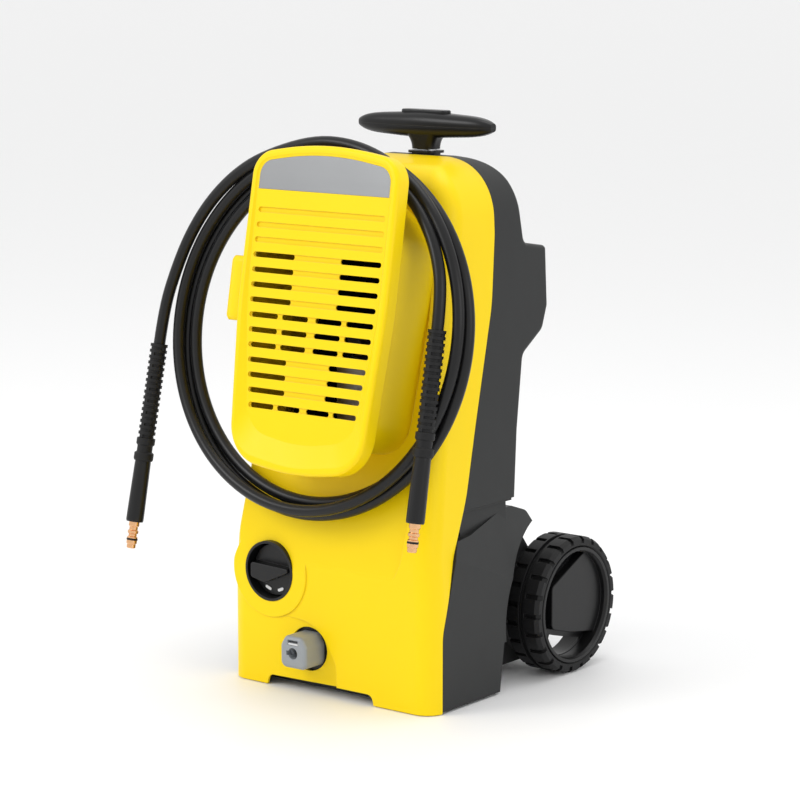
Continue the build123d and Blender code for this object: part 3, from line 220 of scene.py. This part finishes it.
def brush_group():
    """Height of fine straight brush lines across one axis."""
    tree, start, end = new_group(
        "Brush lines", [("Vector", "v", None)], [("Height", "f"), ("Streaks", "f")]
    )
    fine = add_node(tree, "ShaderNodeTexNoise", Scale=1.0, Detail=3.0, Roughness=0.7)
    tree.links.new(scaled(tree, start.outputs["Vector"], (9, 1300, 1300)), fine.inputs["Vector"])
    broad = add_node(tree, "ShaderNodeTexNoise", Scale=1.0, Detail=2.0, Roughness=0.5)
    tree.links.new(scaled(tree, start.outputs["Vector"], (3, 520, 520)), broad.inputs["Vector"])
    tree.links.new(fine.outputs[0], end.inputs["Height"])
    tree.links.new(broad.outputs[0], end.inputs["Streaks"])
    return tree


GROUPS = {}


def group(name):
    """The shader group of that name, built on first use."""
    makers = {"grain": grain_group, "edge": edge_group, "wear": wear_group, "brush": brush_group}
    if name not in GROUPS:
        GROUPS[name] = makers[name]()
    return GROUPS[name]


def place_group(tree, name):
    node = tree.nodes.new("ShaderNodeGroup")
    node.node_tree = group(name)
    return node


def finish_material(name, colour, rubbed, roughness, cells=1500.0, depth=0.05, rubbing=0.3, clouds=0.04,
                    smears=0.1, dust=0.05, radius=0.0008, metallic=0.0, coat=0.0, brushed=False,
                    specular=0.5):
    """One finish: shared groups for grain, edges and handling around a Principled shader."""
    material = bpy.data.materials.new(name)
    material.use_nodes = True
    tree = material.node_tree
    tree.nodes.clear()
    out = tree.nodes.new("ShaderNodeOutputMaterial")
    shader = tree.nodes.new("ShaderNodeBsdfPrincipled")
    tree.links.new(shader.outputs[0], out.inputs[0])
    shader.inputs["Metallic"].default_value = metallic
    shader.inputs["Coat Weight"].default_value = coat
    shader.inputs["Specular IOR Level"].default_value = specular
    place = tree.nodes.new("ShaderNodeTexCoord").outputs["Object"]
    edge = place_group(tree, "edge")
    edge.inputs["Radius"].default_value = radius
    wear = place_group(tree, "wear")
    for label, value in (
        ("Colour", (*colour, 1)), ("Rubbed", (*rubbed, 1)), ("Rubbing", rubbing), ("Clouds", clouds),
        ("Roughness", roughness), ("Smears", smears), ("Dust", dust),
    ):
        wear.inputs[label].default_value = value
    tree.links.new(place, wear.inputs["Vector"])
    tree.links.new(edge.outputs["Edge"], wear.inputs["Edge"])
    tree.links.new(wear.outputs["Colour"], shader.inputs["Base Color"])
    tree.links.new(wear.outputs["Roughness"], shader.inputs["Roughness"])
    bump = tree.nodes.new("ShaderNodeBump")
    bump.inputs["Strength"].default_value = depth
    bump.inputs["Distance"].default_value = 0.0006
    texture = place_group(tree, "brush" if brushed else "grain")
    tree.links.new(place, texture.inputs["Vector"])
    if not brushed:
        texture.inputs["Cells"].default_value = cells
    tree.links.new(texture.outputs["Height"], bump.inputs["Height"])
    tree.links.new(edge.outputs["Normal"], bump.inputs["Normal"])
    tree.links.new(bump.outputs[0], shader.inputs["Normal"])
    if brushed:
        centred = math_node(tree, "SUBTRACT", texture.outputs["Streaks"], 0.5)
        streaks = math_node(tree, "MULTIPLY", centred, STREAK_DEPTH)
        total = math_node(tree, "ADD", wear.outputs["Roughness"], streaks, clamp=True)
        tree.links.new(total, shader.inputs["Roughness"])
    return material


def paint(material, *names):
    for name in names:
        mesh = NODES[name].data
        mesh.materials.clear()
        mesh.materials.append(material)


# Shape tools --------------------------------------------------------------------
def mesh_object(name, build, body, material, smooth=40):
    """A mesh made by build(bm), riding on a CAD body."""
    bm = bmesh.new()
    build(bm)
    bmesh.ops.recalc_face_normals(bm, faces=bm.faces)
    mesh = bpy.data.meshes.new(name)
    bm.to_mesh(mesh)
    bm.free()
    piece = bpy.data.objects.new(name, mesh)
    bpy.context.scene.collection.objects.link(piece)
    mesh.shade_smooth()
    mesh.set_sharp_from_angle(angle=math.radians(smooth))
    mesh.materials.append(material)
    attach(piece, body)
    return piece


# Finishes -----------------------------------------------------------------------
FINISHES = {}


def make_finishes(looks):
    yellow, dark = tuple(looks.body_colour), tuple(looks.frame_colour)
    grain = looks.grain
    FINISHES["yellow"] = finish_material(
        "Yellow housing", yellow, (1.0, 0.86, 0.25), 0.38, 1300, grain, 0.25, 0.03, 0.12, 0.0, 0.0010,
        specular=0.22)
    FINISHES["dark"] = finish_material(
        "Dark grey housing", dark, (0.10, 0.10, 0.10), 0.42, 1100, grain * 1.4, 0.4, 0.06, 0.14, 0.02,
        0.0010, specular=0.26)
    FINISHES["black"] = finish_material(
        "Black plastic", (0.006, 0.006, 0.0065), (0.06, 0.06, 0.06), 0.32, 1500, grain, 0.4, 0.1, 0.12,
        0.01, specular=0.30)
    FINISHES["rubber"] = finish_material(
        "Black rubber", (0.008, 0.008, 0.0085), (0.04, 0.04, 0.04), 0.52, 900, 0.12, 0.5, 0.15, 0.12, 0.03,
        specular=0.25)
    FINISHES["hose"] = finish_material(
        "Hose jacket", (0.006, 0.006, 0.0065), (0.05, 0.05, 0.05), 0.32, 1800, 0.05, 0.0, 0.12, 0.12, 0.01,
        specular=0.30)
    FINISHES["grey"] = finish_material(
        "Grey coupling", (0.27, 0.29, 0.31), (0.6, 0.6, 0.6), 0.42, 1500, grain, 0.4, 0.04, 0.1, 0.02,
        0.0006)
    FINISHES["latch"] = finish_material(
        "Pale latch", (0.62, 0.63, 0.64), (0.8, 0.8, 0.8), 0.38, 1500, grain, 0.3, 0.03, 0.1, 0.02, 0.0004)
    FINISHES["steel"] = finish_material(
        "Bright steel", (0.62, 0.63, 0.65), (0.8, 0.8, 0.8), 0.24, 900, 0.03, 0.3, 0.03, 0.15, 0.0,
        0.0003, metallic=1.0)
    FINISHES["brass"] = finish_material(
        "Coppery brass", (0.80, 0.46, 0.24), (0.95, 0.7, 0.45), 0.20, 900, 0.02, 0.4, 0.06, 0.14, 0.0,
        0.0003, metallic=1.0)
    FINISHES["cast"] = finish_material(
        "Cast aluminium", (0.60, 0.61, 0.62), (0.8, 0.8, 0.8), 0.48, 700, 0.25, 0.4, 0.06, 0.12, 0.02,
        0.0008, metallic=1.0)
    FINISHES["copper"] = finish_material(
        "Winding enamel", (0.52, 0.20, 0.09), (0.7, 0.4, 0.2), 0.32, 600, 0.3, 0.3, 0.1, 0.1, 0.0,
        0.0006, metallic=0.7)
    FINISHES["inner"] = finish_material(
        "Inner plastic", (0.05, 0.05, 0.052), (0.15, 0.15, 0.15), 0.5, 1200, grain, 0.3, 0.05, 0.1, 0.04)
    FINISHES["badge"] = finish_material(
        "Brushed badge", (0.27, 0.275, 0.28), (0.6, 0.6, 0.6), 0.34, 1.0, 0.06, 0.4, 0.05, 0.06, 0.0,
        0.0005, metallic=1.0, brushed=True)
    # Pale grey for the two small raised marks on the switch knob
    FINISHES["mark"] = finish_material(
        "Pale knob mark", (0.75, 0.75, 0.75), (0.8, 0.8, 0.8), 0.5, 1500, 0.02, 0.1, 0.02, 0.1, 0.0, 0.0002)


NODE_FINISHES = {
    "yellow": ["front_shell", "front_cover", "gun_holder"],
    "dark": ["rear_shell", "base_frame"],
    "black": [
        "handle_guide", "switch_bezel", "switch_knob", "outlet_collar", "water_inlet", "cable_gland",
        "plug_sleeve_left", "plug_sleeve_right", "handle_grip", "grip_base", "handle_button",
        "wheel_hub_left", "wheel_hub_right",
    ],
    "rubber": [
        "foot_pads", "plug_seals", "strain_relief_left", "strain_relief_right", "tyre_left", "tyre_right",
    ],
    "hose": ["hose_coil", "hose_tail_left", "hose_tail_right"],
    "grey": ["outlet_block"],
    "latch": ["outlet_latch"],
    "steel": [
        "shell_screws", "axle", "axle_washers", "pump_bolts", "shaft_bearings", "handle_tube",
        "button_spring",
        "rotor_core", "motor_shaft", "swash_plate", "piston_1", "piston_2", "piston_3",
        "piston_spring_1", "piston_spring_2", "piston_spring_3",
    ],
    "brass": ["outlet_pipe", "brass_plug_left", "brass_plug_right"],
    "cast": ["pump_head", "cylinder_block", "swash_housing", "motor_housing", "capacitor"],
    "copper": ["motor_stator"],
    "inner": ["switch_body", "inlet_filter", "inlet_pipe", "cooling_fan"],
    "badge": ["badge_plate"],
}


# Settings -----------------------------------------------------------------------
class WasherLooks(PropertyGroup):
    """Colours and grain of the housings"""
    body_colour: FloatVectorProperty(
        name="Body colour", description="Colour of the front shell, cover and gun clip",
        subtype="COLOR", size=3, min=0, max=1, default=(0.90, 0.64, 0.0))
    frame_colour: FloatVectorProperty(
        name="Frame colour", description="Colour of the rear shell and the lower frame",
        subtype="COLOR", size=3, min=0, max=1, default=(0.020, 0.021, 0.021))
    grain: FloatProperty(
        name="Grain depth", description="Strength of the moulded grain", min=0, max=1, default=0.06)


class HoseSizes(PropertyGroup):
    """Size of the hose and its coil"""
    radius: FloatProperty(
        name="Hose radius", description="Outer radius of the hose", unit="LENGTH",
        min=0.003, max=0.012, default=HOSE_RADIUS)
    turns: IntProperty(
        name="Turns", description="Whole turns in the coil", min=1, max=4, default=3)


class StudioLight(PropertyGroup):
    """Light and camera"""
    key_power: FloatProperty(
        name="Key power", description="Power of the main soft light", unit="POWER",
        min=0, max=500, default=36)
    world_strength: FloatProperty(
        name="World strength", description="Brightness of the even light around the machine",
        min=0, max=5, default=0.95)
    azimuth: FloatProperty(
        name="Azimuth", description="Camera's angle round the machine", subtype="ANGLE",
        default=math.radians(37.90))
    elevation: FloatProperty(
        name="Elevation", description="Camera's angle above the floor", subtype="ANGLE",
        default=math.radians(9.573))
    distance: FloatProperty(
        name="Distance", description="Camera's distance from its target", unit="LENGTH",
        min=0.5, max=10, default=3.2504)


# Operators ----------------------------------------------------------------------
class WASHER_OT_camera(Operator):
    """Camera comes first, aimed at the machine from the set azimuth, elevation and distance"""
    bl_idname = "washer.camera"
    bl_label = "Camera"

    def execute(self, context):
        light = context.scene.washer_light
        a, e = light.azimuth, light.elevation
        back = Vector((math.sin(a) * math.cos(e), -math.cos(a) * math.cos(e), math.sin(e)))
        target = Vector((0.01109, -0.02196, 0.3323))
        data = bpy.data.cameras.new("Camera")
        data.lens = 125.6
        data.sensor_width = 36
        data.clip_end = 500
        camera = bpy.data.objects.new("Camera", data)
        camera.location = target + back * light.distance
        camera.rotation_euler = back.to_track_quat("Z", "Y").to_euler()
        context.scene.collection.objects.link(camera)
        context.scene.camera = camera
        return {"FINISHED"}


def coil_point(angle, radius, ahead):
    """Point of the coil's leaning plane: angle anticlockwise from the right, seen from the front."""
    normal = Vector((0, -1, COIL_SLOPE)).normalized()
    across = Vector((1, 0, 0))
    up = normal.cross(across)
    offset = across * math.cos(angle) + up * math.sin(angle)
    return COIL_CENTRE + offset * radius + normal * ahead


def coil_points(turns):
    """Turns that lie round one another, each a quarter of the bundle further on."""
    end = math.radians(112) + turns * math.tau
    count = round((end - COIL_START) / math.tau * COIL_STEPS)
    points = []
    for i in range(1, count):
        angle = COIL_START + (end - COIL_START) * i / count
        done = (angle - COIL_START) / math.tau
        phase = BUNDLE_START + done * math.tau / 4
        radius = COIL_RADIUS + BUNDLE_RADIUS * math.cos(phase)
        ahead = BUNDLE_RADIUS * math.sin(phase)
        start = max(0.0, 1 - done * 8)
        leave = max(0.0, done - (turns - 0.30)) / 0.44
        leave = min(1.0, leave) ** 2 * (3 - 2 * min(1.0, leave))
        radius += 0.010 * start + 0.020 * leave
        ahead += 0.008 * start + 0.006 * leave
        points.append(coil_point(angle, radius, ahead))
    return points


class WASHER_OT_hose(Operator):
    """Wind the hose over the neck: right tail, turns, left tail"""
    bl_idname = "washer.hose"
    bl_label = "Hose"

    def execute(self, context):
        sizes = context.scene.washer_hose
        route = [Vector(p) for p in RIGHT_TAIL] + coil_points(sizes.turns)
        route += [Vector(p) for p in reversed(LEFT_TAIL)]
        data = bpy.data.curves.new("hose", "CURVE")
        data.dimensions = "3D"
        data.bevel_depth = sizes.radius
        data.bevel_resolution = 7
        data.resolution_u = 6
        data.use_fill_caps = True
        spline = data.splines.new("NURBS")
        spline.points.add(len(route) - 1)
        for point, place in zip(spline.points, route):
            point.co = (*place, 1)
        spline.order_u = 3
        spline.use_endpoint_u = True
        hose = bpy.data.objects.new("hose", data)
        context.scene.collection.objects.link(hose)
        data.materials.append(FINISHES["hose"])
        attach(hose, "machine")
        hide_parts("hose_coil", "hose_tail_left", "hose_tail_right")
        return {"FINISHED"}


class WASHER_OT_finishes(Operator):
    """Give every CAD node its own finish"""
    bl_idname = "washer.finishes"
    bl_label = "Finishes"

    def execute(self, context):
        make_finishes(context.scene.washer_looks)
        for finish, names in NODE_FINISHES.items():
            paint(FINISHES[finish], *names)
        return {"FINISHED"}


def bar(bm, place, length, width, height, turn=0.0):
    """Flat rounded bar lying on the front, along X before it is turned."""
    steps = 6
    outline = []
    for sign in (1, -1):
        for i in range(steps + 1):
            angle = math.pi * (i / steps - 0.5) + (0 if sign > 0 else math.pi)
            x = sign * (length - width) / 2 + width / 2 * math.cos(angle)
            outline.append((x, width / 2 * math.sin(angle)))
    spin = Matrix.Rotation(turn, 4, "Y")
    back = [bm.verts.new(place + spin @ Vector((x, 0.0004, z))) for x, z in outline]
    front = [bm.verts.new(place + spin @ Vector((x * 0.96, -height, z * 0.96))) for x, z in outline]
    bm.faces.new(front)
    bm.faces.new(list(reversed(back)))
    for i in range(len(outline)):
        j = (i + 1) % len(outline)
        bm.faces.new((back[i], back[j], front[j], front[i]))


class WASHER_OT_dial(Operator):
    """Two plain marks on the switch"""
    bl_idname = "washer.dial"
    bl_label = "Switch marks"

    def execute(self, context):
        low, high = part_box("switch_knob")
        disc = Vector(((low[0] + high[0]) / 2, low[1] + KNOB_GRIP_HEIGHT, (low[2] + high[2]) / 2))

        def build(bm):
            for degrees in MARK_ANGLES:
                angle = math.radians(degrees)
                place = disc + Vector((math.cos(angle), 0, math.sin(angle))) * MARK_RADIUS
                along = math.atan2(-math.cos(angle), -math.sin(angle))
                bar(bm, place, MARK_LENGTH, MARK_WIDTH, MARK_HEIGHT, along)

        mesh_object("switch_marks", build, "knob", FINISHES["mark"])
        return {"FINISHED"}


class WASHER_OT_stage(Operator):
    """Pale floor and soft studio light"""
    bl_idname = "washer.stage"
    bl_label = "Stage"

    def execute(self, context):
        light = context.scene.washer_light
        scene = context.scene
        scene.view_settings.view_transform = "Standard"
        world = bpy.data.worlds.new("World")
        world.use_nodes = True
        background = world.node_tree.nodes["Background"]
        background.inputs[0].default_value = (1, 1, 1, 1)
        background.inputs[1].default_value = light.world_strength
        scene.world = world
        mesh = bpy.data.meshes.new("floor")
        far = FLOOR_REACH
        corners = [(-far, -far, 0), (far, -far, 0), (far, far, 0), (-far, far, 0)]
        mesh.from_pydata(corners, [], [(0, 1, 2, 3)])
        floor = bpy.data.objects.new("floor", mesh)
        scene.collection.objects.link(floor)
        material = bpy.data.materials.new("Pale floor")
        material.use_nodes = True
        shader = material.node_tree.nodes["Principled BSDF"]
        shader.inputs["Base Color"].default_value = FLOOR_COLOUR
        shader.inputs["Roughness"].default_value = FLOOR_ROUGHNESS
        mesh.materials.append(material)
        for name, place, aim, size, share in LAMPS:
            data = bpy.data.lights.new(name, "AREA")
            data.shape = "DISK"
            data.size = size
            data.energy = light.key_power * share
            lamp = bpy.data.objects.new(name, data)
            lamp.location = place
            lamp.rotation_euler = (Vector(place) - Vector(aim)).to_track_quat("Z", "Y").to_euler()
            scene.collection.objects.link(lamp)
        return {"FINISHED"}


class WASHER_PT_panel(Panel):
    """Builds the washer piece by piece"""
    bl_idname = "WASHER_PT_panel"
    bl_label = "Pressure Washer"
    bl_space_type = "VIEW_3D"
    bl_region_type = "UI"
    bl_category = "Pressure Washer"

    def draw(self, context):
        layout = self.layout
        for settings in (context.scene.washer_looks, context.scene.washer_hose, context.scene.washer_light):
            for name in settings.__annotations__:
                layout.prop(settings, name)
        for operator in OPERATORS:
            layout.operator(operator.bl_idname)


OPERATORS = [WASHER_OT_camera, WASHER_OT_finishes, WASHER_OT_hose, WASHER_OT_dial, WASHER_OT_stage]
SETTINGS = {"washer_looks": WasherLooks, "washer_hose": HoseSizes, "washer_light": StudioLight}


def register():
    for name, settings in SETTINGS.items():
        bpy.utils.register_class(settings)
        setattr(bpy.types.Scene, name, PointerProperty(type=settings))
    for cls in [*OPERATORS, WASHER_PT_panel]:
        bpy.utils.register_class(cls)


def unregister():
    for cls in reversed([*OPERATORS, WASHER_PT_panel]):
        bpy.utils.unregister_class(cls)
    for name, settings in SETTINGS.items():
        delattr(bpy.types.Scene, name)
        bpy.utils.unregister_class(settings)


def main():
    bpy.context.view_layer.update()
    register()
    for operator in OPERATORS:
        group_name, name = operator.bl_idname.split(".")
        getattr(getattr(bpy.ops, group_name), name)()


if __name__ == "__main__":
    main()
